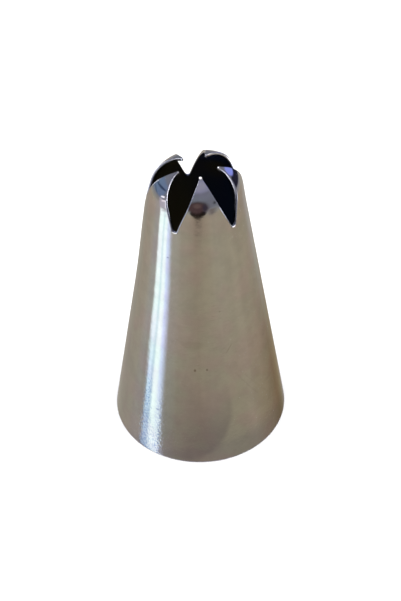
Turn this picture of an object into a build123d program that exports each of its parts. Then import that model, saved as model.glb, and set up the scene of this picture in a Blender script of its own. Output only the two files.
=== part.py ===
from build123d import *
import os
from math import atan, cos, degrees, hypot, pi, radians, sin, sqrt

# Open star piping nozzle: one seamless piece of thin stainless sheet, in millimetres.
# The origin is the centre of the base rim and +Z runs up the cone's axis to the mouth.
# The cone's narrow end is cut into teeth that curl in over the mouth, one of them towards -Y.

# Cone
base_diameter = 25.0
shoulder_diameter = 11.9
shoulder_height = 39.6
wall = 0.4

# Teeth, curled from the shoulder until their ends lie flat
tooth_count = 5
tip_circle_diameter = 4.6
tooth_tip_radius = 0.22
sheet_overrun = 0.2

# Notches between the teeth, cut by a punch that points up and out
notch_depth_below_shoulder = 3.0
notch_root_radius = 0.3
notch_half_angle = 20.9
notch_straight_length = 2.9
punch_tilt = 25.0

# Cone, worked out
base_radius = base_diameter / 2
shoulder_radius = shoulder_diameter / 2
taper = (base_radius - shoulder_radius) / shoulder_height
cone_angle = atan(taper)

# Curl, worked out: its centre lies straight below the end of the sheet
tip_radius = tip_circle_diameter / 2
sheet_end_radius = tip_radius - sheet_overrun
curl_radius = (shoulder_radius - sheet_end_radius) / cos(cone_angle)
curl_centre_height = shoulder_height - curl_radius * sin(cone_angle)
tip_height = curl_centre_height + sqrt(curl_radius**2 - sheet_overrun**2)

# Notch places, worked out
tooth_pitch = 2 * pi / tooth_count
notch_floor_height = shoulder_height - notch_depth_below_shoulder
notch_floor_radius = base_radius - notch_floor_height * taper


def curl_point(offset, angle):
    """Give the (radius, height) of a curl point, offset inwards from the outer face.

    The angle is in radians up from the level plane through the curl's centre.
    """
    radius = sheet_end_radius + (curl_radius - offset) * cos(angle)
    height = curl_centre_height + (curl_radius - offset) * sin(angle)
    return radius, height


def sheet_section():
    """Give half of the sheet's section through the axis, on the XZ plane."""
    wall_at_base = wall / cos(cone_angle)
    middle_angle = (cone_angle + pi / 2) / 2
    outer_start, outer_middle, outer_end = (curl_point(0, a) for a in (cone_angle, middle_angle, pi / 2))
    inner_start, inner_middle, inner_end = (curl_point(wall, a) for a in (cone_angle, middle_angle, pi / 2))
    outline = [
        Line((base_radius, 0), outer_start),
        ThreePointArc(outer_start, outer_middle, outer_end),
        Line(outer_end, inner_end),
        ThreePointArc(inner_end, inner_middle, inner_start),
        Line(inner_start, (base_radius - wall_at_base, 0)),
        Line((base_radius - wall_at_base, 0), (base_radius, 0)),
    ]
    return Plane.XZ * make_face(outline)


def notch_outline():
    """Give the notch's outline across the punch, with its floor at the local origin.

    A round root leads into two straight flanks, which then bow in to the tooth tips.
    """
    lean = radians(notch_half_angle)
    tilt = radians(punch_tilt)
    root = (notch_root_radius * cos(lean), notch_root_radius * (1 - sin(lean)))
    bow_start = (
        root[0] + notch_straight_length * sin(lean),
        root[1] + notch_straight_length * cos(lean),
    )
    tip_reach = notch_floor_radius - tip_radius * cos(tooth_pitch / 2)
    tip = (
        tip_radius * sin(tooth_pitch / 2),
        (tip_height - notch_floor_height) * cos(tilt) + tip_reach * sin(tilt),
    )
    top = tip[1] + wall
    flank = [
        Line(root, bow_start),
        TangentArc(bow_start, tip, tangent=(sin(lean), cos(lean))),
        Line(tip, (tip[0], top)),
    ]
    left_root = (-root[0], root[1])
    outline = [
        ThreePointArc(left_root, (0, 0), root),
        *flank,
        Line((tip[0], top), (-tip[0], top)),
        *[mirror(edge, about=Plane.YZ) for edge in flank],
    ]
    return make_face(outline)


def notch_punch():
    """Give the punch that cuts the notch at +X, from outside the curl in to the axis."""
    tilt = radians(punch_tilt)
    floor = Plane(
        origin=(notch_floor_radius, 0, notch_floor_height),
        x_dir=(0, 1, 0),
        z_dir=(cos(tilt), 0, sin(tilt)),
    )
    reach_in = notch_floor_radius * cos(tilt) - (tip_height - notch_floor_height) * sin(tilt)
    start = floor.offset(-reach_in)
    return extrude(start * notch_outline(), amount=reach_in + curl_radius)


def tooth_tip_edges(shell):
    """Give the short edges at the tooth tips, where the flanks of two notches meet."""
    tip_zone = tip_radius + wall
    return [
        edge
        for edge in shell.edges()
        if all(hypot(end.X, end.Y) < tip_zone for end in (edge @ 0, edge @ 1))
    ]


def nozzle_shell():
    """Give the finished nozzle, with a tooth towards -Y."""
    shell = revolve(sheet_section(), axis=Axis.Z)
    first_notch = degrees(tooth_pitch / 2) - 90
    for index in range(tooth_count):
        turn = first_notch + index * degrees(tooth_pitch)
        shell -= Rot(Z=turn) * notch_punch()
    return fillet(tooth_tip_edges(shell), radius=tooth_tip_radius)


os.makedirs("parts", exist_ok=True)
export_step(nozzle_shell(), "parts/nozzle_shell.step")
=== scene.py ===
import logging
import math
from collections.abc import Callable, Iterator
from contextlib import contextmanager
from dataclasses import dataclass, field
from enum import Enum

import bmesh
import bpy
from mathutils import Matrix, Vector


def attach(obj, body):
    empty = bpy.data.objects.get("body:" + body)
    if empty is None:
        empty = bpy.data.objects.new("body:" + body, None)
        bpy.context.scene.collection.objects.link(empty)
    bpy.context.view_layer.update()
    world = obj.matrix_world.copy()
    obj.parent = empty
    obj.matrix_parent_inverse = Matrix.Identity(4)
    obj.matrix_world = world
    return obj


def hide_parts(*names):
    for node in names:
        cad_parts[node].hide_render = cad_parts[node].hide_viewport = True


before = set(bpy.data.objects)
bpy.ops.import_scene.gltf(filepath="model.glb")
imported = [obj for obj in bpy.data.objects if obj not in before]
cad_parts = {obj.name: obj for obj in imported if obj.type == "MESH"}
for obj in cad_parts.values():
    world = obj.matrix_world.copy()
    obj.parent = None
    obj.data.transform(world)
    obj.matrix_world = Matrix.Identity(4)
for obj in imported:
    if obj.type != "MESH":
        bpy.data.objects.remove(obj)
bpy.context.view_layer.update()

LOG = logging.getLogger("nozzle")

MM = 0.001
NODE = "nozzle_shell"
BODY = "root"

# The camera stands this far round from -Y, towards +X when positive
VIEW_AZIMUTH = -9.8

# What share * (1 - share) and share**2 * (1 - share) are multiplied by to peak at 1
HALFWAY_GAIN = 4.0
TWO_THIRDS_GAIN = 6.75

Colour = tuple[float, float, float]
Span = tuple[float, float]
Noise = tuple[float, float, float]
Stops = tuple[tuple[float, Colour], ...]
Object = bpy.types.Object
Socket = bpy.types.NodeSocket
Value = Socket | float | tuple[float, ...]
Inputs = dict[str | int, Value]


class Rays(Enum):
    """The kinds of ray that a stage object can be hidden from."""

    CAMERA = "visible_camera"
    DIFFUSE = "visible_diffuse"
    GLOSSY = "visible_glossy"
    TRANSMISSION = "visible_transmission"
    SHADOW = "visible_shadow"


def select_only(obj: Object) -> None:
    """Select one object, alone, and make it active.

    Args:
        obj: The object to work on.
    """
    bpy.ops.object.select_all(action="DESELECT")
    obj.select_set(True)
    bpy.context.view_layer.objects.active = obj


@contextmanager
def edit_mode(obj: Object) -> Iterator[None]:
    """Keep an object in edit mode, with vertices to select, while the block runs.

    Args:
        obj: The mesh object to edit.
    """
    select_only(obj)
    bpy.ops.object.mode_set(mode="EDIT")
    bpy.ops.mesh.select_mode(type="VERT")
    yield
    bpy.ops.object.mode_set(mode="OBJECT")


def pick_numbers(obj: Object, numbers: list[int]) -> None:
    """Select vertices by their numbers, in edit mode, and nothing else.

    Args:
        obj: The mesh object in edit mode.
        numbers: The vertices' numbers.
    """
    bpy.ops.mesh.select_all(action="DESELECT")
    mesh = bmesh.from_edit_mesh(obj.data)
    mesh.verts.ensure_lookup_table()
    for number in numbers:
        mesh.verts[number].select_set(True)
    mesh.select_flush(True)
    bmesh.update_edit_mesh(obj.data, loop_triangles=False, destructive=False)


def pick(obj: Object, test: Callable[[bmesh.types.BMVert], bool]) -> None:
    """Select the vertices that pass a test, in edit mode, and nothing else."""
    mesh = bmesh.from_edit_mesh(obj.data)
    pick_numbers(obj, [vert.index for vert in mesh.verts if test(vert)])


def azimuth_from(point: Vector, middle: float) -> float:
    """Give a point's angle in radians from a middle line, which is in degrees from -Y towards +X."""
    angle = math.atan2(point.x, -point.y) - math.radians(middle)
    return math.remainder(angle, 2 * math.pi)


def eased(share: float) -> float:
    """Turn a share from 0 to 1 into one that starts and ends gently."""
    return share**2 * (3 - 2 * share)


def apply_modifier(obj: Object, kind: str, **settings: object) -> None:
    """Add a modifier, give it its settings and apply it.

    Args:
        obj: The mesh object.
        kind: The modifier's type.
        **settings: The modifier's properties by name.
    """
    select_only(obj)
    modifier = obj.modifiers.new(kind.title(), kind)
    for name, value in settings.items():
        setattr(modifier, name, value)
    bpy.ops.object.modifier_apply(modifier=modifier.name)


class NodeBench:
    """Adds and wires the nodes of one node tree."""

    def __init__(self, tree: bpy.types.NodeTree) -> None:
        """Start with an emptied tree."""
        self.tree = tree
        self.tree.nodes.clear()

    def add(self, kind: str, inputs: Inputs | None = None, **settings: object) -> bpy.types.Node:
        """Add a node.

        Args:
            kind: The node's type name.
            inputs: Values or sockets for its inputs, by name or number.
            **settings: The node's properties by name.

        Returns:
            The new node.
        """
        node = self.tree.nodes.new(kind)
        for name, value in settings.items():
            setattr(node, name, value)
        for name, value in (inputs or {}).items():
            self.feed(node.inputs[name], value)
        return node

    def feed(self, socket: Socket, value: Value) -> None:
        """Give an input a value, or wire another node's output to it.

        Args:
            socket: The input.
            value: A number, a tuple or an output socket.
        """
        if isinstance(value, Socket):
            self.tree.links.new(value, socket)
        elif isinstance(value, tuple) and len(value) == 3 and socket.type == "RGBA":
            socket.default_value = (*value, 1.0)
        else:
            socket.default_value = value

    def math(self, operation: str, *values: Value) -> Socket:
        """Add a Math node and return its value."""
        return self.add("ShaderNodeMath", dict(enumerate(values)), operation=operation).outputs[0]

    def vector(self, operation: str, *values: Value) -> Socket:
        """Add a Vector Math node and return its vector."""
        node = self.add("ShaderNodeVectorMath", dict(enumerate(values)), operation=operation)
        return node.outputs["Vector"]

    def length(self, vector: Value) -> Socket:
        """Add a node that gives a vector's length."""
        return self.add("ShaderNodeVectorMath", {0: vector}, operation="LENGTH").outputs["Value"]

    def pair(self, first: Value, second: Value) -> Socket:
        """Add a node that makes a vector of two values."""
        return self.add("ShaderNodeCombineXYZ", {0: first, 1: second}).outputs[0]

    def split(self, vector: Value) -> bpy.types.NodeOutputs:
        """Add a node that takes a vector apart, and return its outputs X, Y and Z."""
        return self.add("ShaderNodeSeparateXYZ", {0: vector}).outputs

    def place(self) -> Socket:
        """Add a node that gives the place on the object."""
        return self.add("ShaderNodeTexCoord").outputs["Object"]

    def show(self, shader: bpy.types.Node) -> None:
        """Wire a shader to the material's output."""
        self.add("ShaderNodeOutputMaterial", {"Surface": shader.outputs[0]})

    def faced(self, vector: Value) -> Socket:
        """Add a node that turns a vector round Z, so that -Y is the side that VIEW_AZIMUTH names."""
        inputs = {"Vector": vector, "Angle": math.radians(-VIEW_AZIMUTH)}
        return self.add("ShaderNodeVectorRotate", inputs, rotation_type="Z_AXIS").outputs[0]

    def ease(self, value: Value, low: float, high: float, start: float = 0.0, end: float = 1.0) -> Socket:
        """Pass smoothly from one value to another as the input goes from low to high.

        Args:
            value: The input.
            low: Where the change starts.
            high: Where it ends.
            start: The value up to low.
            end: The value from high on.

        Returns:
            The result's socket.
        """
        inputs = {"Value": value, "From Min": low, "From Max": high, "To Min": start, "To Max": end}
        node = self.add("ShaderNodeMapRange", inputs, interpolation_type="SMOOTHSTEP")
        return node.outputs["Result"]

    def mix(self, factor: Value, below: Value, above: Value, blend: str = "MIX") -> Socket:
        """Mix two colours.

        Args:
            factor: How much of the upper colour shows, from 0 to 1.
            below: The lower colour.
            above: The upper colour.
            blend: The way they mix.

        Returns:
            The result's socket.
        """
        node = self.add("ShaderNodeMix", data_type="RGBA", blend_type=blend)
        self.feed(node.inputs[0], factor)
        self.feed(node.inputs[6], below)
        self.feed(node.inputs[7], above)
        return node.outputs[2]

    def noise(self, place: Value, scale: float, detail: float, roughness: float) -> Socket:
        """Add a Noise Texture, with its scale in bumps to one unit, and return its value."""
        inputs = {"Vector": place, "Scale": scale, "Detail": detail, "Roughness": roughness}
        return self.add("ShaderNodeTexNoise", inputs).outputs[0]


def new_material(name: str) -> tuple[bpy.types.Material, NodeBench]:
    """Make a material with an empty node tree.

    Args:
        name: The material's name.

    Returns:
        The material and its node bench.
    """
    material = bpy.data.materials.new(name)
    material.use_nodes = True
    return material, NodeBench(material.node_tree)


class Shape(Enum):
    """The outlines that a soft-edged patch can have."""

    BOX = "box"
    ROUND = "round"


@dataclass(frozen=True)
class Patch:
    """A soft-edged patch of colour.

    Attributes:
        across: Its middle's first coordinate.
        along: Its middle's second coordinate.
        half_width: Half of its size along the first coordinate.
        half_height: Half of its size along the second.
        colour: What it shows, or for a shade what it lets through.
        edge: Half of the width over which its left and right edges fade.
        rise: The same for its top and bottom, or 0 for the same as edge.
        turn: Its turn in degrees.
        shape: Its outline.
        within: Another patch that this one shows only inside.
    """

    across: float
    along: float
    half_width: float
    half_height: float
    colour: Colour
    edge: float = 3.0
    rise: float = 0.0
    turn: float = 0.0
    shape: Shape = Shape.BOX
    within: "Patch | None" = None

    def mask(self, bench: NodeBench, x: Value, y: Value, wraps: bool = False) -> Socket:
        """Make the patch's mask.

        Args:
            bench: The node bench.
            x: The first coordinate.
            y: The second coordinate.
            wraps: Whether the first coordinate is a full turn in degrees.

        Returns:
            A value that is 1 inside and 0 outside.
        """
        dx = bench.math("SUBTRACT", x, self.across)
        if wraps:
            dx = bench.math("WRAP", dx, 180.0, -180.0)
        own = self.own_mask(bench, dx, bench.math("SUBTRACT", y, self.along))
        if self.within is None:
            return own
        return bench.math("MULTIPLY", own, self.within.mask(bench, x, y, wraps))

    def own_mask(self, bench: NodeBench, dx: Value, dy: Value) -> Socket:
        """Make the mask of the patch's own outline.

        Args:
            bench: The node bench.
            dx: The way from its middle along the first coordinate.
            dy: The way from its middle along the second.

        Returns:
            A value that is 1 inside and 0 outside.
        """
        if self.turn:
            cosine, sine = math.cos(math.radians(self.turn)), math.sin(math.radians(self.turn))
            wide = bench.math("ADD", bench.math("MULTIPLY", dx, cosine), bench.math("MULTIPLY", dy, sine))
            dy = bench.math("SUBTRACT", bench.math("MULTIPLY", dy, cosine), bench.math("MULTIPLY", dx, sine))
            dx = wide
        rise = self.rise or self.edge
        if self.shape is Shape.ROUND:
            wide = bench.math("DIVIDE", dx, self.half_width)
            tall = bench.math("DIVIDE", dy, self.half_height)
            soft = self.edge / self.half_width
            return bench.ease(bench.length(bench.pair(wide, tall)), max(1 - soft, 0.0), 1 + soft, 1.0, 0.0)
        right = bench.ease(dx, self.half_width - self.edge, self.half_width + self.edge, 1.0, 0.0)
        left = bench.ease(dx, -self.half_width - self.edge, -self.half_width + self.edge)
        upright = bench.math("ABSOLUTE", dy)
        tall = bench.ease(upright, self.half_height - rise, self.half_height + rise, 1.0, 0.0)
        return bench.math("MULTIPLY", bench.math("MULTIPLY", left, right), tall)


def lay_patches(
    bench: NodeBench,
    patches: tuple[Patch, ...],
    place: tuple[Value, Value],
    colour: Value,
    blend: str = "MULTIPLY",
    wraps: bool = False,
) -> Value:
    """Lay patches over a colour, one after the other.

    Args:
        bench: The node bench.
        patches: The patches.
        place: The two coordinates.
        colour: The colour under them.
        blend: The way the colours mix.
        wraps: Whether the first coordinate is a full turn in degrees.

    Returns:
        The colour with the patches on it.
    """
    for patch in patches:
        colour = bench.mix(patch.mask(bench, *place, wraps), colour, patch.colour, blend)
    return colour


@dataclass(frozen=True)
class PolishedSheet:
    """The polished stainless sheet: bright, faintly mottled, grained low down and a little marked, with
    painted shade above the foot and painted speckle in the mirrored window.

    A mark's place is given in millimetres: round the sheet from the front tooth's middle
    line, measured at 10 mm from the axis, and up from the base rim.
    """

    name: str = "polished_stainless"
    roughness: float = 0.09
    # The two tints of the steel, the clouds on it, and what rubbing and dashes let through
    warm: Colour = (0.635, 0.59, 0.565)
    green: Colour = (0.60, 0.605, 0.55)
    cloud_low: Colour = (0.95, 0.95, 0.955)
    cloud_high: Colour = (1.05, 1.05, 1.045)
    scuff: Colour = (0.90, 0.89, 0.88)
    # Each pattern's bumps to a millimetre, its finer layers and how strong they are
    tint_noise: Noise = (0.22, 2.0, 0.5)
    cloud_noise: Noise = (0.45, 4.0, 0.6)
    dash_noise: Noise = (1.0, 3.0, 0.7)
    speckle_noise: Noise = (4.4, 1.0, 0.5)
    peel_noise: Noise = (1.1, 2.0, 0.5)
    grain_noise: Noise = (2.6, 2.0, 0.6)
    # How the dashes are squeezed round and up the sheet
    dash_squeeze: tuple[float, float, float] = (0.9, 5.0, 1.0)
    # Between which values of its noise each pattern sets in
    tint_sets_in: Span = (0.4, 0.6)
    cloud_sets_in: Span = (0.3, 0.7)
    dash_sets_in: Span = (0.56, 0.70)
    speckle_edge: float = 0.08
    # How deep the relief is, in millimetres
    peel_depth: float = 0.006
    grain_depth: float = 0.020
    scratch_depth: float = 0.0015
    # Heights in millimetres where the drawn grain ends, and where handling starts and stops
    grain_ends: Span = (2.0, 16.0)
    worn_starts: Span = (8.0, 18.0)
    worn_stops: Span = (24.0, 32.0)
    # How much of the dashes shows where nothing handled it
    unworn: float = 0.2
    # How far from the axis places round the sheet are measured, in millimetres
    measured_at: float = 10.0
    marks_and_painted_shade: tuple[Patch, ...] = (
        # Painted shade above the foot, the mirrored edge of a shadow on the table: sharp at its lower right
        # and fading to the upper left
        Patch(
            -3.9, 9.6, 6.2, 9.3, (0.83, 0.81, 0.86), edge=0.45, shape=Shape.ROUND,
            within=Patch(0.2, 3.4, 6.6, 6.2, (1.0, 1.0, 1.0), edge=5.4, shape=Shape.ROUND),
        ),
        # A fainter layer of the same painted shade
        Patch(
            -3.9, 9.6, 6.2, 9.3, (0.92, 0.91, 0.93), edge=0.45, shape=Shape.ROUND,
            within=Patch(0.6, 7.4, 6.0, 5.8, (1.0, 1.0, 1.0), edge=4.8, shape=Shape.ROUND),
        ),
        # Specks and a smudge above it
        Patch(-2.40, 16.0, 0.14, 0.22, (0.60, 0.54, 0.50), edge=0.08, shape=Shape.ROUND),
        Patch(-0.75, 16.05, 0.12, 0.14, (0.55, 0.50, 0.48), edge=0.07, shape=Shape.ROUND),
        Patch(-2.6, 20.0, 1.6, 0.7, (0.93, 0.92, 0.91), edge=0.7, shape=Shape.ROUND),
        Patch(1.6, 25.0, 0.10, 0.10, (0.72, 0.70, 0.68), edge=0.06, shape=Shape.ROUND),
        # A slanting scratch, and short ones in the bright stripe
        Patch(2.6, 18.8, 0.72, 0.05, (0.80, 0.78, 0.76), edge=0.05, turn=51.0),
        Patch(4.9, 11.6, 3.2, 0.10, (0.955, 0.95, 0.95), edge=0.10, turn=-60.0),
        Patch(6.6, 10.4, 3.6, 0.09, (0.96, 0.955, 0.95), edge=0.09, turn=-58.0),
        Patch(-7.4, 32.8, 0.20, 0.08, (0.58, 0.56, 0.62), edge=0.06),
        Patch(-7.4, 8.0, 0.2, 0.12, (0.60, 0.62, 0.72), edge=0.1, shape=Shape.ROUND),
    )
    # Where painted speckle of the mirrored window shows as darker bluish dots, standing for grain that
    # breaks up its reflection, and how much of the sheet there it leaves alone
    painted_speckle: tuple[tuple[Patch, float], ...] = (
        (Patch(-9.25, 4.5, 0.70, 9.0, (0.66, 0.72, 0.86), edge=0.3, rise=4.0), 0.52),
        (Patch(-7.6, -1.5, 0.85, 5.5, (0.62, 0.70, 0.86), edge=0.3, rise=4.0), 0.54),
        (Patch(-7.05, 4.0, 0.20, 8.0, (0.70, 0.74, 0.86), edge=0.2, rise=4.0), 0.50),
    )

    def make(self) -> bpy.types.Material:
        """Make the material.

        Returns:
            The new material.
        """
        material, bench = new_material(self.name)
        place = bench.vector("MULTIPLY", bench.place(), (1 / MM,) * 3)
        parts = bench.split(place)
        height = parts["Z"]
        angle = bench.math("ARCTAN2", parts["X"], bench.math("MULTIPLY", parts["Y"], -1.0))
        across = bench.math("MULTIPLY", angle, self.measured_at)
        squeezed = bench.vector("MULTIPLY", bench.pair(across, height), self.dash_squeeze)
        dashes = bench.noise(squeezed, *self.dash_noise)

        tint = self.mottled(bench, place)
        worn = bench.ease(height, *self.worn_starts)
        worn = bench.math("MULTIPLY", worn, bench.ease(height, *self.worn_stops, 1.0, 0.0))
        worn = bench.math("MULTIPLY_ADD", worn, 1 - self.unworn, self.unworn)
        scuffed = bench.math("MULTIPLY", bench.ease(dashes, *self.dash_sets_in), worn)
        tint = bench.mix(scuffed, tint, self.scuff, "MULTIPLY")
        # The marks, with the painted shade above the foot
        tint = lay_patches(bench, self.marks_and_painted_shade, (across, height), tint)
        # Painted reflection speckle, kept to where the window is mirrored
        for painted_speckle, threshold in self.painted_speckle:
            speckle_dots = bench.noise(place, *self.speckle_noise)
            speckle_dots = bench.ease(speckle_dots, threshold, threshold + self.speckle_edge)
            speckle_dots = bench.math("MULTIPLY", speckle_dots, painted_speckle.mask(bench, across, height))
            tint = bench.mix(speckle_dots, tint, painted_speckle.colour, "MULTIPLY")

        peel = bench.math("MULTIPLY", bench.noise(place, *self.peel_noise), self.peel_depth)
        low_down = bench.ease(height, *self.grain_ends, 1.0, 0.0)
        grain = bench.math("MULTIPLY", low_down, self.grain_depth)
        grain = bench.math("MULTIPLY", bench.noise(place, *self.grain_noise), grain)
        scratches = bench.math("MULTIPLY", dashes, self.scratch_depth)
        relief = bench.math("ADD", bench.math("ADD", peel, grain), scratches)
        bump = bench.add("ShaderNodeBump", {"Strength": 1.0, "Distance": MM, "Height": relief})

        shader = bench.add("ShaderNodeBsdfPrincipled", {
            "Base Color": tint,
            "Metallic": 1.0,
            "Roughness": self.roughness,
            "Normal": bump.outputs[0],
        })
        bench.show(shader)
        return material

    def mottled(self, bench: NodeBench, place: Socket) -> Socket:
        """Make the steel's own colour, before it was marked.

        Args:
            bench: The node bench.
            place: The place on the sheet in millimetres.

        Returns:
            The colour's socket.
        """
        patches = bench.ease(bench.noise(place, *self.tint_noise), *self.tint_sets_in)
        tint = bench.mix(patches, self.warm, self.green)
        clouds = bench.ease(bench.noise(place, *self.cloud_noise), *self.cloud_sets_in)
        return bench.mix(1.0, tint, bench.mix(clouds, self.cloud_low, self.cloud_high), "MULTIPLY")


@dataclass(frozen=True)
class CutEdge:
    """The sheet's cut edges: a painted highlight makes them lighter near the tips, and painted shade makes
    them darker down in the notches.
    """

    name: str = "edge_painted_highlight"
    # Painted highlight near the tips, and painted shade down in the notches
    bright: Colour = (0.78, 0.77, 0.77)
    dull: Colour = (0.34, 0.35, 0.38)
    # Heights between which the painted shade gives way to the painted highlight
    tip_highlight_from: Span = (39.6 * MM, 41.0 * MM)
    roughness: float = 0.16
    roughness_spread: float = 0.2
    drag_noise: Noise = (2600.0, 2.0, 0.6)
    drag_depth: float = 0.01 * MM
    drag_strength: float = 0.3

    def make(self) -> bpy.types.Material:
        """Make the material.

        Returns:
            The new material.
        """
        material, bench = new_material(self.name)
        place = bench.place()
        drag = bench.noise(place, *self.drag_noise)
        smoothest = self.roughness - self.roughness_spread / 2
        roughness = bench.math("MULTIPLY_ADD", drag, self.roughness_spread, smoothest)
        # Painted shade low on the edges, painted highlight near the tips
        tint = bench.mix(bench.ease(bench.split(place)["Z"], *self.tip_highlight_from), self.dull, self.bright)
        bump = bench.add("ShaderNodeBump", {
            "Strength": self.drag_strength,
            "Distance": self.drag_depth,
            "Height": drag,
        })
        shader = bench.add("ShaderNodeBsdfPrincipled", {
            "Base Color": tint,
            "Metallic": 1.0,
            "Roughness": roughness,
            "Normal": bump.outputs[0],
        })
        bench.show(shader)
        return material


@dataclass
class Mandrel:
    """The round form that the sheet is pressed on: a cone that curls in at its top."""

    base_radius: float = 12.5 * MM
    shoulder_radius: float = 5.95 * MM
    shoulder_height: float = 39.6 * MM
    sheet_end_radius: float = 2.1 * MM

    def __post_init__(self) -> None:
        """Work out the cone's angle and the curl's centre."""
        self.angle = math.atan((self.base_radius - self.shoulder_radius) / self.shoulder_height)
        self.slant = self.shoulder_height / math.cos(self.angle)
        self.curl_radius = (self.shoulder_radius - self.sheet_end_radius) / math.cos(self.angle)
        self.curl_height = self.shoulder_height - self.curl_radius * math.sin(self.angle)

    def section(self, run: float) -> tuple[float, float]:
        """Give the radius and height of a place on the outer face.

        Args:
            run: The way up the sheet from the base rim.

        Returns:
            The radius and the height.
        """
        if run <= self.slant:
            return self.base_radius - run * math.sin(self.angle), run * math.cos(self.angle)
        turn = self.angle + (run - self.slant) / self.curl_radius
        radius = self.sheet_end_radius + self.curl_radius * math.cos(turn)
        return radius, self.curl_height + self.curl_radius * math.sin(turn)

    def place(self, run: float, azimuth: float, swell: float) -> Vector:
        """Give a point on the outer face, with its distance from the axis multiplied by swell."""
        radius, height = self.section(run)
        return Vector((radius * swell * math.sin(azimuth), -radius * swell * math.cos(azimuth), height))

    def outward(self, run: float, azimuth: float) -> Vector:
        """Give the direction straight off the outer face.

        Args:
            run: The way up the sheet from the base rim.
            azimuth: The angle in radians from -Y towards +X.

        Returns:
            The direction, of length 1.
        """
        turn = self.angle + max(run - self.slant, 0.0) / self.curl_radius
        level = math.cos(turn)
        return Vector((level * math.sin(azimuth), -level * math.cos(azimuth), math.sin(turn)))


@dataclass
class Notch:
    """The gap between two teeth, cut by a punch that points up and out."""

    floor_radius: float
    floor_height: float
    tilt: float
    tip: tuple[float, float]
    root_radius: float = 0.3 * MM
    half_angle: float = math.radians(20.9)
    straight: float = 2.9 * MM
    # The bow's arc stops just short of lying level, and this many rounds find a flank's angle
    least_sine: float = -0.99
    rounds: int = 60

    def __post_init__(self) -> None:
        """Work out where the flanks start to bow in, and how strongly."""
        self.root = (
            self.root_radius * math.cos(self.half_angle),
            self.root_radius * (1 - math.sin(self.half_angle)),
        )
        self.bow_start = (
            self.root[0] + self.straight * math.sin(self.half_angle),
            self.root[1] + self.straight * math.cos(self.half_angle),
        )
        across = self.tip[0] - self.bow_start[0]
        along = self.tip[1] - self.bow_start[1]
        lean = along * math.sin(self.half_angle) - across * math.cos(self.half_angle)
        self.bow_radius = (across**2 + along**2) / (2 * lean)

    def half_width(self, up: float) -> float:
        """Give half of the gap across the punch.

        Args:
            up: The height above the notch floor, along the punch's face.

        Returns:
            Half of the gap.
        """
        if up <= 0:
            return 0.0
        if up < self.root[1]:
            return math.sqrt(self.root_radius**2 - (self.root_radius - up) ** 2)
        if up < self.bow_start[1]:
            return self.root[0] + (up - self.root[1]) * math.tan(self.half_angle)
        sine = math.sin(self.half_angle) - (up - self.bow_start[1]) / self.bow_radius
        sine = max(sine, self.least_sine)
        return self.bow_start[0] + self.bow_radius * (math.sqrt(1 - sine**2) - math.cos(self.half_angle))

    def angle_at(self, radius: float, height: float) -> float:
        """Give the angle from the notch's middle to its flank, for a ring of the sheet.

        Args:
            radius: The ring's radius.
            height: The ring's height.

        Returns:
            The angle in radians.
        """
        reach = radius
        gap = 0.0
        lifted = (height - self.floor_height) * math.cos(self.tilt)
        for _ in range(self.rounds):
            up = lifted + (self.floor_radius - reach) * math.sin(self.tilt)
            gap = min(self.half_width(up), radius)
            reach = 0.5 * reach + 0.5 * math.sqrt(max(radius**2 - gap**2, 0.0))
        return math.asin(gap / radius)


@dataclass(frozen=True)
class NotchSet:
    """How one notch differs from its regular place.

    Attributes:
        turn: Its floor's turn round the axis in degrees, towards the right seen from outside.
        deepen: How much further down it is cut.
        flare: How far the sheet stands out at its floor.
    """

    turn: float = 0.0
    deepen: float = 0.0
    flare: float = 0.0


@dataclass(frozen=True)
class ToothSet:
    """How one tooth differs from the regular one, as the sheet was cut and bent.

    Attributes:
        azimuth: Its middle line's angle in degrees, from -Y towards +X.
        left: The notch on its left, seen from outside.
        right: The notch on its right.
        bulge_left: How far its left flank bulges out halfway up.
        bulge_right: How far its right flank bulges out halfway up.
        sway: How far its tip leans to the right.
        belly_left: How far its left flank stands off the regular curl two thirds of the way up.
        belly_right: The same for its right flank.
        lift: How far its tip stands off the regular curl.
        reach: How much longer it is.
    """

    azimuth: float
    left: NotchSet
    right: NotchSet
    bulge_left: float = 0.0
    bulge_right: float = 0.0
    sway: float = 0.0
    belly_left: float = 0.0
    belly_right: float = 0.0
    lift: float = 0.0
    reach: float = 0.0


FRONT_LEFT_NOTCH = NotchSet(turn=-0.5, deepen=-0.08 * MM)
FRONT_RIGHT_NOTCH = NotchSet(turn=0.1, deepen=0.08 * MM)
SIDE_LEFT_NOTCH = NotchSet(turn=0.9, deepen=-0.08 * MM, flare=0.31 * MM)
SIDE_RIGHT_NOTCH = NotchSet()
BACK_NOTCH = NotchSet(turn=0.4, deepen=-0.22 * MM)

TEETH = (
    ToothSet(
        azimuth=0.0, left=FRONT_LEFT_NOTCH, right=FRONT_RIGHT_NOTCH,
        bulge_left=0.12 * MM, bulge_right=-0.13 * MM, sway=0.08 * MM, lift=-0.08 * MM,
        reach=0.16 * MM,
    ),
    ToothSet(
        azimuth=72.0, left=FRONT_RIGHT_NOTCH, right=SIDE_RIGHT_NOTCH,
        bulge_left=0.12 * MM, sway=-0.05 * MM, belly_right=0.14 * MM, lift=-0.06 * MM,
        reach=-0.18 * MM,
    ),
    ToothSet(
        azimuth=144.0, left=SIDE_RIGHT_NOTCH, right=BACK_NOTCH,
        bulge_left=0.47 * MM, bulge_right=0.19 * MM, sway=-0.14 * MM, belly_left=0.41 * MM,
        belly_right=0.08 * MM, lift=-0.14 * MM, reach=0.02 * MM,
    ),
    ToothSet(
        azimuth=216.0, left=BACK_NOTCH, right=SIDE_LEFT_NOTCH,
        bulge_left=-0.12 * MM, bulge_right=0.45 * MM, sway=0.08 * MM, belly_left=-0.08 * MM,
        belly_right=-0.18 * MM, lift=-0.05 * MM, reach=0.30 * MM,
    ),
    ToothSet(
        azimuth=288.0, left=SIDE_LEFT_NOTCH, right=FRONT_LEFT_NOTCH,
        bulge_left=-0.32 * MM, bulge_right=0.14 * MM, sway=0.18 * MM, belly_left=0.08 * MM,
        reach=-0.03 * MM,
    ),
)


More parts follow.
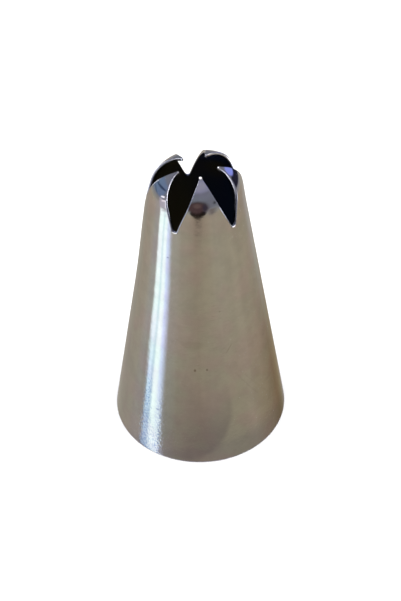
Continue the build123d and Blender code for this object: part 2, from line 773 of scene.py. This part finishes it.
@dataclass
class NozzleShell:
    """The whole nozzle: one sheet, its cone, its five curled teeth and its cut edges."""

    mandrel: Mandrel = field(default_factory=Mandrel)
    teeth: tuple[ToothSet, ...] = TEETH
    wall: float = 0.4 * MM
    notch_depth: float = 3.0 * MM
    tip_circle_radius: float = 2.3 * MM
    tooth_tip_radius: float = 0.16 * MM
    punch_tilt: float = math.radians(25.0)
    strips: int = 16
    cone_rows: int = 12
    tooth_rows: int = 13
    support: float = 0.1 * MM
    end_support: float = 0.12 * MM
    first_rise: float = 0.2 * MM
    edge_roll: float = 0.15 * MM
    settle_depth: float = 12.0 * MM
    weld: float = 0.002 * MM
    foot_reach: float = 0.01 * MM
    smoothing: int = 2
    # How late the columns gather round the tip, and how soon a notch's extra depth dies away
    tip_power: int = 8
    floor_power: int = 4
    # The steps down a flank, and the halvings, that find where the tip's circle touches it
    flank_step: float = 0.02 * MM
    flank_steps: int = 80
    halvings: int = 40
    least_span: float = 1e-6
    name: str = "nozzle_sheet"

    def __post_init__(self) -> None:
        """Work out the notch and where the tooth tips are rounded."""
        form = self.mandrel
        self.floor_height = form.shoulder_height - self.notch_depth
        self.floor_run = self.floor_height / math.cos(form.angle)
        floor_radius = form.section(self.floor_run)[0]
        self.half_pitch = math.pi / len(self.teeth)
        tip_turn = math.acos((self.tip_circle_radius - form.sheet_end_radius) / form.curl_radius)
        tip_height = form.curl_height + form.curl_radius * math.sin(tip_turn)
        tip_reach = floor_radius - self.tip_circle_radius * math.cos(self.half_pitch)
        tip_rise = (tip_height - self.floor_height) * math.cos(self.punch_tilt)
        tip_up = tip_rise + tip_reach * math.sin(self.punch_tilt)
        self.notch = Notch(
            floor_radius,
            self.floor_height,
            self.punch_tilt,
            (self.tip_circle_radius * math.sin(self.half_pitch), tip_up),
        )
        self.sharp_run = form.slant + (tip_turn - form.angle) * form.curl_radius
        self.fit_tip()

    def half_span(self, run: float) -> float:
        """Give half of the tooth's angle round the axis in radians, at a way up the sheet."""
        return max(self.half_pitch - self.notch.angle_at(*self.mandrel.section(run)), 0.0)

    def fit_tip(self) -> None:
        """Find the circle that rounds the tip and touches both flanks."""
        runs = [self.sharp_run - self.flank_step * count for count in range(self.flank_steps)]
        flank = [(self.half_span(run) * self.mandrel.section(run)[0], run) for run in runs]
        low, high = self.sharp_run - self.flank_steps * self.flank_step, self.sharp_run
        for _ in range(self.halvings):
            centre = (low + high) / 2
            nearest = min(flank, key=lambda point: math.hypot(point[0], point[1] - centre))
            if math.hypot(nearest[0], nearest[1] - centre) > self.tooth_tip_radius:
                low = centre
            else:
                high = centre
        self.tip_centre = centre
        self.tip_sweep = math.atan2(nearest[0], nearest[1] - centre)
        self.touch_run = nearest[1]

    def column_place(self, column: int, run: float) -> float:
        """Give a column's share of the tooth's half span, from -1 to 1.

        Args:
            column: The column's number, 0 on the tooth's middle line.
            run: The way up the sheet from the base rim.

        Returns:
            The share.
        """
        half = self.strips // 2
        if run <= self.floor_run:
            return column / half
        if abs(column) == half:
            return math.copysign(1.0, column)
        width = self.half_span(run) * self.mandrel.section(run)[0]
        inset = min(width / half, self.edge_roll)
        return column / (half - 1) * (1 - inset / width)

    def tooth_point(self, column: int, share: float) -> tuple[float, float]:
        """Give the run and azimuth of a cage point on a regular tooth.

        Args:
            column: The column's number.
            share: The way up the tooth, 0 at the notch floor and 1 at its end.

        Returns:
            The run up the sheet and the angle from the tooth's middle line.
        """
        half = self.strips // 2
        sweep = self.tip_sweep * column / half
        end_run = self.tip_centre + self.tooth_tip_radius * math.cos(sweep)
        end_side = self.tooth_tip_radius * math.sin(sweep)
        run = self.floor_run + (end_run - self.floor_run) * share
        flank_run = min(run, self.touch_run)
        radius = self.mandrel.section(run)[0]
        span = self.half_span(flank_run) * self.mandrel.section(flank_run)[0] / radius
        straight = self.column_place(column, flank_run) * span
        blend = share**self.tip_power
        return run, straight * (1 - blend) + blend * end_side / radius

    def settled(self, tooth: ToothSet, run: float, side: float) -> Vector:
        """Move a regular cage point to where this tooth has it.

        Args:
            tooth: The tooth.
            run: The point's way up the regular sheet.
            side: Its angle from the tooth's middle line.

        Returns:
            The point in space.
        """
        length = self.touch_run - self.floor_run
        up = min(max((run - self.floor_run) / length, 0.0), 1.0)
        below = min(max((self.floor_run - run) / self.settle_depth, 0.0), 1.0)
        settle = eased(1 - below)
        hold = eased(1 - up) * settle
        span = max(self.half_span(min(run, self.touch_run)), self.least_span)
        across = min(max(side / span, -1.0), 1.0)
        right = (1 + across) / 2
        left = 1 - right
        deepen = tooth.left.deepen * left**self.floor_power + tooth.right.deepen * right**self.floor_power
        turn = math.radians(tooth.left.turn * left + tooth.right.turn * right)
        # Shared out by the plain pitch, so the round notch root puts no crease in the sheet
        pitch_share = (1 + side / self.half_pitch) / 2
        flare = tooth.left.flare * (1 - pitch_share) + tooth.right.flare * pitch_share
        radius = self.mandrel.section(run)[0]
        bulge = tooth.bulge_right if across > 0 else tooth.bulge_left
        slide = across * bulge * HALFWAY_GAIN * up * (1 - up) + tooth.sway * up**2
        new_run = run + tooth.reach * up**2 - deepen * hold
        azimuth = math.radians(tooth.azimuth) + side + slide / radius + turn * hold
        spacing = 2 * span / self.strips
        point = self.mandrel.place(new_run, azimuth, self.swell(spacing))
        shift = flare * (1 - up**2) * settle
        belly = tooth.belly_left * left + tooth.belly_right * right
        shift += belly * TWO_THIRDS_GAIN * up**2 * (1 - up) + tooth.lift * up**2
        return point + self.mandrel.outward(new_run, azimuth) * shift

    def swell(self, spacing: float) -> float:
        """Give the factor that makes up for what subdivision takes off a ring of points."""
        return 1 / (2 / 3 + math.cos(spacing) / 3)

    def first_row(self, tooth: ToothSet) -> Object:
        """Make one tooth's share of the base rim, as a row of edges.

        Args:
            tooth: The tooth above it.

        Returns:
            The new object.
        """
        spacing = 2 * self.half_pitch / self.strips
        bpy.ops.object.select_all(action="DESELECT")
        bpy.ops.mesh.primitive_circle_add(
            vertices=self.strips * len(self.teeth),
            radius=self.mandrel.base_radius * self.swell(spacing),
            fill_type="NOTHING",
            location=(0, 0, 0),
        )
        obj = bpy.context.object
        # Past the tooth's last point, and well before its neighbour's next one
        edge = self.half_pitch + spacing / 4
        with edit_mode(obj):
            pick(obj, lambda vert: abs(azimuth_from(vert.co, tooth.azimuth)) > edge)
            bpy.ops.mesh.delete(type="VERT")
        return obj

    def raise_row(self, obj: Object, tooth: ToothSet, places: list[Vector]) -> None:
        """Extrude the selected row of edges and drag its points to new places.

        Args:
            obj: The mesh object in edit mode, with the last row selected.
            tooth: The tooth that is being shaped.
            places: The new places, from left to right.
        """
        half = self.strips // 2
        top = max(vert.co.z for vert in bmesh.from_edit_mesh(obj.data).verts if vert.select)
        rise = places[half].z - top
        bpy.ops.mesh.extrude_region_move(TRANSFORM_OT_translate={"value": (0, 0, rise)})
        mesh = bmesh.from_edit_mesh(obj.data)
        row = sorted((v for v in mesh.verts if v.select), key=lambda v: azimuth_from(v.co, tooth.azimuth))
        moves = [(vert.index, place - vert.co) for vert, place in zip(row, places, strict=True)]
        for index, move in moves:
            pick_numbers(obj, [index])
            bpy.ops.transform.translate(value=move)
        pick_numbers(obj, [index for index, _ in moves])

    def raise_ring(self, start: float, end: float) -> None:
        """Extrude the selected row up the cone, where it only rises and shrinks.

        Args:
            start: The run of the selected row.
            end: The run of the new row.
        """
        radius, height = self.mandrel.section(start)
        new_radius, new_height = self.mandrel.section(end)
        shrink = new_radius / radius
        bpy.ops.mesh.extrude_region_move(TRANSFORM_OT_translate={"value": (0, 0, new_height - height)})
        bpy.ops.transform.resize(value=(shrink, shrink, 1), center_override=(0, 0, new_height))

    def cone_runs(self) -> list[float]:
        """Give the runs of the cone's rows, with a close row at each end to hold its edge."""
        step = self.floor_run / self.cone_rows
        rows = [self.support] + [step * count for count in range(1, self.cone_rows)]
        return [0.0, *rows, self.floor_run - self.support, self.floor_run]

    def tooth_shares(self) -> list[float]:
        """Give the heights of the tooth's rows, with close rows at its root and end."""
        length = self.tip_centre + self.tooth_tip_radius - self.floor_run
        first = self.first_rise / length
        last = 1 - self.end_support / length
        step = (last - first) / (self.tooth_rows - 1)
        return [first + step * count for count in range(self.tooth_rows)] + [1.0]

    def shape_tooth(self, tooth: ToothSet) -> Object:
        """Build one tooth and its share of the cone.

        Args:
            tooth: The tooth.

        Returns:
            The new object, an open sheet without thickness.
        """
        half = self.strips // 2
        columns = range(-half, half + 1)
        even = self.half_pitch / half
        obj = self.first_row(tooth)
        with edit_mode(obj):
            bpy.ops.mesh.select_all(action="SELECT")
            runs = self.cone_runs()
            for start, end in zip(runs, runs[1:]):
                if end < self.floor_run - self.settle_depth:
                    self.raise_ring(start, end)
                else:
                    places = [self.settled(tooth, end, even * column) for column in columns]
                    self.raise_row(obj, tooth, places)
            for share in self.tooth_shares():
                points = [self.tooth_point(column, share) for column in columns]
                self.raise_row(obj, tooth, [self.settled(tooth, run, side) for run, side in points])
        return obj

    def build(self) -> Object:
        """Build the nozzle's mesh.

        Returns:
            The finished object.
        """
        parts = [self.shape_tooth(tooth) for tooth in self.teeth]
        select_only(parts[0])
        for part in parts:
            part.select_set(True)
        bpy.ops.object.join()
        obj = bpy.context.object
        obj.name = self.name
        obj.data.materials.append(PolishedSheet().make())
        obj.data.materials.append(CutEdge().make())
        with edit_mode(obj):
            bpy.ops.mesh.select_all(action="SELECT")
            bpy.ops.mesh.remove_doubles(threshold=self.weld)
            bpy.ops.mesh.normals_make_consistent(inside=False)
        self.paint_flanks_like_edge(obj)
        apply_modifier(
            obj,
            "SOLIDIFY",
            thickness=self.wall,
            offset=-1.0,
            use_even_offset=True,
            material_offset_rim=1,
        )
        with edit_mode(obj):
            pick(obj, lambda vert: vert.co.z < self.foot_reach)
            bpy.ops.transform.resize(value=(1, 1, 0), center_override=(0, 0, 0))
        apply_modifier(obj, "SUBSURF", levels=self.smoothing, render_levels=self.smoothing)
        select_only(obj)
        bpy.ops.object.shade_smooth()
        return obj

    def paint_flanks_like_edge(self, obj: Object) -> None:
        """Give the narrow strip beside each cut edge the edge's material, with its painted highlight and
        shade.

        Args:
            obj: The sheet before it has its thickness.
        """
        with edit_mode(obj):
            bpy.ops.mesh.select_mode(type="FACE")
            mesh = bmesh.from_edit_mesh(obj.data)
            for face in mesh.faces:
                low = min(vert.co.z for vert in face.verts)
                at_edge = any(edge.is_boundary for edge in face.edges)
                face.select_set(at_edge and low > self.floor_height - self.edge_roll)
            bmesh.update_edit_mesh(obj.data, loop_triangles=False, destructive=False)
            obj.active_material_index = 1
            bpy.ops.object.material_slot_assign()

    def tie(self, obj: Object) -> None:
        """Tie the sheet to the part.

        Args:
            obj: The finished object.
        """
        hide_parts(NODE)
        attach(obj, BODY)


def panel(low: float, high: float, bottom: float, top: float, colour: Colour, **more: object) -> Patch:
    """Make a panel of the surroundings from its limits round and above the nozzle, in degrees."""
    return Patch((low + high) / 2, (bottom + top) / 2, (high - low) / 2, (top - bottom) / 2, colour, **more)


@dataclass
class Studio:
    """The floor, the soft light and the surroundings that the steel mirrors."""

    floor_width: float = 3.0
    floor_colour: Colour = (0.85, 0.85, 0.85)
    floor_roughness: float = 0.5
    shade_radius: float = 110 * MM
    shade_sides: int = 96
    shade_sink: float = 0.05 * MM
    # Where the card turns black under the foot, in millimetres from the axis, and its faint glow
    foot_edge: Span = (12.2, 12.6)
    glow_left: Colour = (0.003, 0.005, 0.013)
    glow_right: Colour = (0.011, 0.010, 0.006)
    glow_turns: Span = (-8.0, 8.0)
    # The plain light on all that isn't mirrored
    light: float = 1.8
    # Heights in degrees where the table starts and ends, and where its near part meets the far one
    table_starts: Span = (-48.0, -42.0)
    table_ends: Span = (-20.0, -12.0)
    table_parts_meet: Span = (-29.0, -22.0)
    table_dip: float = 6.5
    # How far the upright edges of the surroundings waver, in degrees
    waver: float = 4.0
    waver_noise: Noise = (9.0, 1.0, 0.5)
    haze_noise: Noise = (4.0, 3.0, 0.55)
    haze_sets_in: Span = (0.3, 0.7)
    haze_low: Colour = (0.97, 0.97, 0.97)
    haze_high: Colour = (1.03, 1.03, 1.03)
    sky: Stops = (
        (-90.0, (0.60, 0.58, 0.66)), (-50.0, (0.60, 0.58, 0.64)), (-42.0, (0.45, 0.41, 0.35)),
        (-15.0, (0.45, 0.43, 0.40)), (-6.0, (0.34, 0.34, 0.38)), (5.0, (0.225, 0.235, 0.30)),
        (25.0, (0.215, 0.23, 0.30)), (45.0, (0.235, 0.25, 0.34)), (58.0, (0.225, 0.235, 0.33)),
        (68.0, (0.33, 0.34, 0.52)), (80.0, (0.38, 0.39, 0.54)),
    )
    far_table: Stops = (
        (-180.0, (0.43, 0.40, 0.34)), (-144.0, (0.42, 0.39, 0.335)), (-125.0, (0.455, 0.39, 0.325)),
        (-106.0, (0.495, 0.44, 0.38)), (-93.0, (0.49, 0.475, 0.47)), (-46.0, (0.48, 0.45, 0.41)),
        (-33.0, (0.45, 0.40, 0.34)), (-4.0, (0.415, 0.35, 0.275)), (18.0, (0.44, 0.38, 0.295)),
        (36.0, (0.46, 0.41, 0.335)), (74.0, (0.46, 0.40, 0.32)), (112.0, (0.42, 0.36, 0.285)),
        (131.0, (0.42, 0.37, 0.31)), (145.0, (0.465, 0.445, 0.41)), (180.0, (0.43, 0.40, 0.36)),
    )
    near_table: Stops = (
        (-180.0, (0.40, 0.375, 0.33)), (-148.0, (0.39, 0.36, 0.31)), (-129.0, (0.39, 0.35, 0.305)),
        (-110.0, (0.42, 0.385, 0.335)), (-95.0, (0.415, 0.39, 0.375)), (-44.0, (0.38, 0.365, 0.33)),
        (-32.0, (0.37, 0.335, 0.27)), (0.0, (0.37, 0.32, 0.25)), (18.0, (0.40, 0.35, 0.28)),
        (54.0, (0.40, 0.35, 0.27)), (74.0, (0.415, 0.35, 0.28)), (91.0, (0.37, 0.30, 0.22)),
        (110.0, (0.315, 0.243, 0.168)), (130.0, (0.257, 0.184, 0.108)), (145.0, (0.29, 0.23, 0.14)),
        (180.0, (0.36, 0.315, 0.25)),
    )
    panels: tuple[Patch, ...] = (
        # The window: its lavender side, its two panes and the bar between them
        panel(-72.0, -55.0, -50.0, -22.0, (1.04, 1.20, 1.73), edge=6.0, rise=0.7),
        panel(-84.3, -62.5, -50.0, -22.3, (1.44, 1.68, 1.78), edge=2.5, rise=0.7),
        panel(-72.0, -55.5, -50.0, -32.0, (1.44, 1.68, 1.78), edge=2.0, rise=1.6),
        panel(-84.3, -72.5, -50.0, -30.8, (0.90, 1.22, 1.68), edge=2.5, rise=2.8),
        panel(-87.0, -72.5, -50.0, -34.0, (0.52, 0.66, 0.94), edge=2.0, rise=0.9),
        panel(-92.0, -81.8, -50.0, -31.2, (0.415, 0.385, 0.365), edge=2.0, rise=2.0),
        panel(-73.6, -69.6, -31.0, -22.0, (0.98, 1.32, 1.48), edge=2.2, rise=2.5, turn=-22.0),
        panel(-75.4, -71.6, -50.0, -30.5, (0.72, 0.95, 1.28), edge=1.5, rise=2.0),
        # What the front tooth mirrors
        panel(-22.0, 27.0, -16.0, 32.0, (0.085, 0.065, 0.075), edge=7.0, shape=Shape.ROUND),
        panel(26.0, 43.0, -17.5, -2.0, (0.23, 0.205, 0.205), edge=8.0, rise=2.0),
        panel(-16.0, 20.0, -19.25, -3.5, (0.014, 0.010, 0.008), edge=1.5, shape=Shape.ROUND),
        panel(-19.0, 17.0, -12.0, 27.0, (0.095, 0.056, 0.064), edge=5.0, shape=Shape.ROUND),
        panel(-8.0, 9.0, 7.0, 23.0, (0.155, 0.10, 0.105), edge=4.0, shape=Shape.ROUND),
        panel(13.0, 24.0, -8.0, 20.0, (0.052, 0.042, 0.068), edge=4.0, shape=Shape.ROUND),
        panel(40.0, 48.0, 11.0, 21.0, (0.07, 0.07, 0.09), edge=2.5, shape=Shape.ROUND),
        # What the left tooth mirrors
        panel(-124.0, -80.0, -1.0, 40.0, (0.20, 0.285, 0.49), edge=4.0, rise=5.0),
        panel(-119.0, -79.0, 18.5, 25.5, (0.065, 0.10, 0.20), edge=6.0, turn=20.0, shape=Shape.ROUND),
        panel(-116.0, -98.0, 0.5, 5.5, (0.13, 0.18, 0.30), edge=3.0, turn=-25.0, shape=Shape.ROUND),
        panel(-88.0, -70.0, -22.0, -1.0, (0.62, 0.61, 0.74), edge=3.0, rise=2.0),
        panel(-87.0, -75.5, 4.6, 8.0, (2.1, 2.1, 2.4), edge=1.3, turn=38.0),
        panel(-82.5, -71.5, -4.4, -1.6, (1.5, 1.45, 1.65), edge=1.2, turn=36.0),
        # What the rims and the tips mirror
        panel(-70.0, -42.0, -18.5, 7.0, (1.9, 1.95, 2.25), edge=4.0, rise=2.0),
        panel(74.0, 98.0, -17.0, -5.0, (5.5, 5.6, 6.4), edge=2.5, rise=1.5),
        panel(-152.0, -130.0, -9.0, 12.0, (5.0, 5.0, 5.5), edge=3.0),
        panel(164.0, 185.0, 34.0, 57.0, (3.0, 3.0, 3.1), edge=2.0),
        # What the right tooth mirrors
        panel(106.0, 152.0, -4.5, 22.0, (0.022, 0.022, 0.045), edge=2.5, turn=-13.0),
        panel(125.0, 159.0, 12.5, 37.5, (0.36, 0.43, 1.27), edge=3.0, shape=Shape.ROUND),
    )
    shades: tuple[Patch, ...] = (
        Patch(2.0, 4.0, 12.7, 12.7, (0.89, 0.89, 0.94), edge=1.5, shape=Shape.ROUND),
        Patch(3.0, 7.0, 10.5, 15.0, (0.87, 0.88, 0.92), edge=4.5, shape=Shape.ROUND),
    )

    def lay_floor(self) -> None:
        """Lay the pale floor."""
        bpy.ops.object.select_all(action="DESELECT")
        bpy.ops.mesh.primitive_plane_add(size=self.floor_width, location=(0, 0, 0))
        floor = bpy.context.object
        floor.name = "floor"
        material, bench = new_material("pale_floor")
        matt = bench.add("ShaderNodeBsdfDiffuse", {
            "Color": self.floor_colour,
            "Roughness": self.floor_roughness,
        })
        bench.show(matt)
        floor.data.materials.append(material)
        self.hide_from(floor, Rays.GLOSSY)

    def lay_shade(self) -> None:
        """Lay the shade round the nozzle's foot, which only mirrored rays see."""
        bpy.ops.object.select_all(action="DESELECT")
        bpy.ops.mesh.primitive_circle_add(
            vertices=self.shade_sides,
            radius=self.shade_radius,
            fill_type="NGON",
            location=(0, 0, -self.shade_sink),
        )
        shade = bpy.context.object
        shade.name = "contact_shade"
        material, bench = new_material("contact_shade")
        turned = bench.faced(bench.vector("MULTIPLY", bench.place(), (1 / MM, 1 / MM, 0.0)))
        parts = bench.split(turned)
        towards = bench.math("MULTIPLY", parts["Y"], -1.0)
        light = lay_patches(bench, self.shades, (parts["X"], towards), (1.0, 1.0, 1.0))
        under = bench.ease(bench.length(turned), *self.foot_edge, 1.0, 0.0)
        through = bench.mix(under, light, (0.0, 0.0, 0.0))
        glow = bench.mix(bench.ease(parts["X"], *self.glow_turns), self.glow_left, self.glow_right)
        clear = bench.add("ShaderNodeBsdfTransparent", {"Color": through})
        dim = bench.add("ShaderNodeEmission", {"Color": glow, "Strength": under})
        both = bench.add("ShaderNodeAddShader", {0: clear.outputs[0], 1: dim.outputs[0]})
        bench.show(both)
        shade.data.materials.append(material)
        self.hide_from(shade, Rays.CAMERA, Rays.DIFFUSE, Rays.TRANSMISSION, Rays.SHADOW)

    @staticmethod
    def hide_from(obj: Object, *rays: Rays) -> None:
        """Hide a stage object from some kinds of ray."""
        for kind in rays:
            setattr(obj, kind.value, False)

    @staticmethod
    def ramp(bench: NodeBench, value: Value, span: float, stops: Stops) -> Socket:
        """Add a colour ramp over an angle.

        Args:
            bench: The world's node bench.
            value: The angle in degrees.
            span: The ramp runs from minus this to plus this.
            stops: The angles and their colours.

        Returns:
            The colour's socket.
        """
        node = bench.add("ShaderNodeValToRGB", {0: bench.math("MULTIPLY_ADD", value, 0.5 / span, 0.5)})
        elements = node.color_ramp.elements
        while len(elements) < len(stops):
            elements.new(1.0)
        for element, (angle, colour) in zip(elements, stops, strict=True):
            element.position = 0.5 * angle / span + 0.5
            element.color = (*colour, 1.0)
        return node.outputs[0]

    def hang_world(self) -> None:
        """Give the world its white backdrop and the surroundings for the mirrored rays."""
        world = bpy.data.worlds.new("studio")
        bpy.context.scene.world = world
        world.use_nodes = True
        world.cycles.sampling_method = "NONE"
        bench = NodeBench(world.node_tree)
        direction = bench.add("ShaderNodeTexCoord").outputs["Generated"]
        parts = bench.split(bench.faced(direction))
        round_angle = bench.math("ARCTAN2", parts["X"], bench.math("MULTIPLY", parts["Y"], -1.0))
        azimuth = bench.math("SUBTRACT", bench.math("DEGREES", round_angle), self.waver / 2)
        wavering = bench.noise(direction, *self.waver_noise)
        azimuth = bench.math("MULTIPLY_ADD", wavering, self.waver, azimuth)
        elevation = bench.math("DEGREES", bench.math("ARCSINE", parts["Z"]))
        colour = bench.mix(
            self.table_shows(bench, elevation),
            self.ramp(bench, elevation, 90.0, self.sky),
            self.table(bench, azimuth, elevation),
        )
        colour = lay_patches(bench, self.panels, (azimuth, elevation), colour, "MIX", wraps=True)
        haze = bench.ease(bench.noise(direction, *self.haze_noise), *self.haze_sets_in)
        colour = bench.mix(1.0, colour, bench.mix(haze, self.haze_low, self.haze_high), "MULTIPLY")
        seen = bench.add("ShaderNodeLightPath").outputs["Is Glossy Ray"]
        mirrored = bench.add("ShaderNodeBackground", {"Color": colour, "Strength": 1.0})
        plain = bench.add("ShaderNodeBackground", {"Color": (1.0, 1.0, 1.0), "Strength": self.light})
        chosen = bench.add("ShaderNodeMixShader", {0: seen, 1: plain.outputs[0], 2: mirrored.outputs[0]})
        bench.add("ShaderNodeOutputWorld", {"Surface": chosen.outputs[0]})

    def table_shows(self, bench: NodeBench, elevation: Socket) -> Socket:
        """Give how much of the table shows at a height, from 0 to 1."""
        starts = bench.ease(elevation, *self.table_starts)
        return bench.math("MULTIPLY", starts, bench.ease(elevation, *self.table_ends, 1.0, 0.0))

    def table(self, bench: NodeBench, azimuth: Socket, elevation: Socket) -> Socket:
        """Make the table's colour, from its near and far parts.

        Args:
            bench: The world's node bench.
            azimuth: The angle round the nozzle in degrees.
            elevation: The angle above the horizon.

        Returns:
            The colour's socket.
        """
        near = self.ramp(bench, azimuth, 180.0, self.near_table)
        far = self.ramp(bench, azimuth, 180.0, self.far_table)
        # The nozzle's sides mirror lower places than its front does, so the limit follows
        dip = bench.math("MULTIPLY", bench.math("COSINE", bench.math("RADIANS", azimuth)), -self.table_dip)
        evened = bench.math("ADD", elevation, bench.math("ADD", dip, self.table_dip))
        return bench.mix(bench.ease(evened, *self.table_parts_meet), near, far)

    def set_exposure(self) -> None:
        """Set how the light turns into the picture's colours."""
        view = bpy.context.scene.view_settings
        view.view_transform = "Standard"
        view.look = "None"
        view.exposure = 0.0
        view.gamma = 1.0

    def build(self) -> None:
        """Build the whole studio."""
        self.lay_floor()
        self.lay_shade()
        self.hang_world()
        self.set_exposure()


@dataclass(frozen=True)
class CameraStand:
    """The stand that the camera is on: its place, its aim and the lens."""

    level_distance: float = 121.83 * MM
    height: float = 132.42 * MM
    pitch: float = math.radians(42.77)
    yaw: float = math.radians(0.118)
    roll: float = math.radians(-1.034)
    azimuth: float = math.radians(VIEW_AZIMUTH)
    focal_pixels: float = 1200.277
    picture_height: int = 601
    sensor: float = 36.0
    nearest: float = 1 * MM
    farthest: float = 20.0

    def place_camera(self) -> None:
        """Add the camera and make it the scene's own."""
        forward = Vector((
            math.sin(self.yaw) * math.cos(self.pitch),
            math.cos(self.yaw) * math.cos(self.pitch),
            -math.sin(self.pitch),
        ))
        level_right = Vector((math.cos(self.yaw), -math.sin(self.yaw), 0.0))
        level_up = level_right.cross(forward)
        right = level_right * math.cos(self.roll) + level_up * math.sin(self.roll)
        up = level_up * math.cos(self.roll) - level_right * math.sin(self.roll)
        aim = Matrix((right, up, -forward)).transposed().to_4x4()
        stand = Matrix.Translation((0.0, -self.level_distance, self.height))
        data = bpy.data.cameras.new("camera")
        data.sensor_fit = "AUTO"
        data.sensor_width = self.sensor
        data.lens = self.focal_pixels * self.sensor / self.picture_height
        data.clip_start = self.nearest
        data.clip_end = self.farthest
        camera = bpy.data.objects.new("camera", data)
        bpy.context.scene.collection.objects.link(camera)
        camera.matrix_world = Matrix.Rotation(self.azimuth, 4, "Z") @ stand @ aim
        bpy.context.scene.camera = camera


def write_sizes() -> None:
    bpy.context.view_layer.update()


def main() -> None:
    """Build the scene piece by piece."""
    logging.basicConfig(level=logging.INFO, format="%(name)s: %(message)s")
    CameraStand().place_camera()
    LOG.info("camera placed")
    shell = NozzleShell()
    sheet = shell.build()
    shell.tie(sheet)
    LOG.info("nozzle sheet: %d vertices, %d faces", len(sheet.data.vertices), len(sheet.data.polygons))
    Studio().build()
    LOG.info("studio built")
    write_sizes()


if __name__ == "__main__":
    main()
